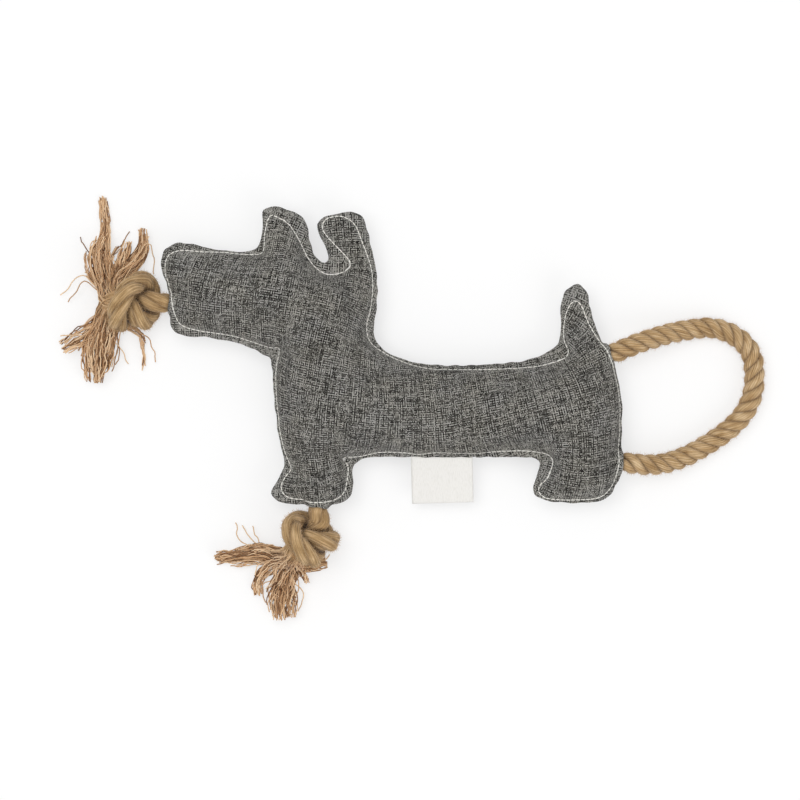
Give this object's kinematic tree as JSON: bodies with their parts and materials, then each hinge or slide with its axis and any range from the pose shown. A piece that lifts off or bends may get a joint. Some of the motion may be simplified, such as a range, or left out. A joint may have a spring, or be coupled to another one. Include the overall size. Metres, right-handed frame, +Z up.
{
  "type": "squeaky dog toy",
  "caption": "Flat stuffed cloth dog toy with contour topstitching, a rear rope pull loop, knotted frayed ropes at muzzle and paw, a sewn-in tape label and an inner bellows squeaker.",
  "frame": {"origin": "centre of the underside of the cloth body, where it lies on the ground", "axes": "+X towards the tail, +Y towards the ears, +Z up from the back panel that the toy lies on"},
  "size_m": [0.4088, 0.2619, 0.0424],
  "materials": {
    "cloth": "mottled grey plain weave",
    "thread": "off-white sewing thread",
    "filling": "loose white fibre",
    "rope": "tan laid rope",
    "yarn": "frayed tan yarn",
    "tape": "plain white woven tape",
    "squeaker": "soft milky plastic",
    "reed": "thin plastic film"
  },
  "bodies": {
    "toy_body": {"front_panel": "cloth", "back_panel": "cloth", "front_topstitch": "thread", "back_topstitch": "thread", "head_filling": "filling", "front_ear_filling": "filling", "rear_ear_filling": "filling", "torso_filling_upper": "filling", "torso_filling_lower": "filling", "front_leg_filling": "filling", "rear_leg_filling": "filling", "tail_filling": "filling", "squeaker_base": "squeaker", "squeaker_bellows": "squeaker", "reed_cup": "squeaker", "reed_clamp": "reed", "label_root": "tape", "muzzle_rope_root": "rope", "front_paw_rope_root": "rope", "tail_rope_root": "rope", "rear_paw_rope_root": "rope"},
    "squeaker_top": {"squeaker_crown": "squeaker"},
    "reed": {"reed_tongue": "reed"},
    "pull_loop": {"pull_loop": "rope"},
    "muzzle_neck": {"muzzle_rope_neck": "rope"},
    "muzzle_knot": {"muzzle_knot": "rope", "muzzle_tuft_down": "yarn", "muzzle_tuft_up": "yarn", "muzzle_tuft_side": "yarn"},
    "front_paw_neck": {"front_paw_rope_neck": "rope"},
    "front_paw_knot": {"front_paw_knot": "rope", "front_paw_tuft_down": "yarn", "front_paw_tuft_left": "yarn", "front_paw_tuft_right": "yarn"},
    "label": {"label_flap": "tape"}
  },
  "joints": [
    {"name": "squeaker_press", "type": "slide", "parent": "toy_body", "child": "squeaker_top", "axis": [0, 0, -1], "range_m": [0, 0.006], "stiffness_N_per_m": 400, "deforming": ["squeaker_bellows"]},
    {"name": "reed_flutter", "type": "hinge", "parent": "toy_body", "child": "reed", "pos_m": [0.02855, -0.033, 0.00813], "axis": [0, -1, 0], "range_deg": [-2, 6], "stiffness_Nm_per_rad": 0.0002},
    {"name": "loop_swing", "type": "hinge", "parent": "toy_body", "child": "pull_loop", "pos_m": [0.13846, -0.03093, 0.017], "axis": [0.1086, -0.9941, 0], "range_deg": [-50, 60]},
    {"name": "muzzle_swing", "type": "hinge", "parent": "toy_body", "child": "muzzle_neck", "pos_m": [-0.13674, 0.03227, 0.017], "axis": [0, 0, 1], "range_deg": [-10, 35]},
    {"name": "muzzle_lift", "type": "hinge", "parent": "muzzle_neck", "child": "muzzle_knot", "pos_m": [-0.13674, 0.03227, 0.017], "axis": [0, 1, 0], "range_deg": [-40, 40]},
    {"name": "front_paw_swing", "type": "hinge", "parent": "toy_body", "child": "front_paw_neck", "pos_m": [-0.04499, -0.09411, 0.017], "axis": [0, 0, 1], "range_deg": [-10, 35]},
    {"name": "front_paw_lift", "type": "hinge", "parent": "front_paw_neck", "child": "front_paw_knot", "pos_m": [-0.04499, -0.09411, 0.017], "axis": [-1, 0, 0], "range_deg": [-20, 40]},
    {"name": "label_flip", "type": "hinge", "parent": "toy_body", "child": "label", "pos_m": [0.03015, -0.06165, 0.017], "axis": [-1, 0, 0], "range_deg": [-50, 70], "stiffness_Nm_per_rad": 0.004}
  ]
}
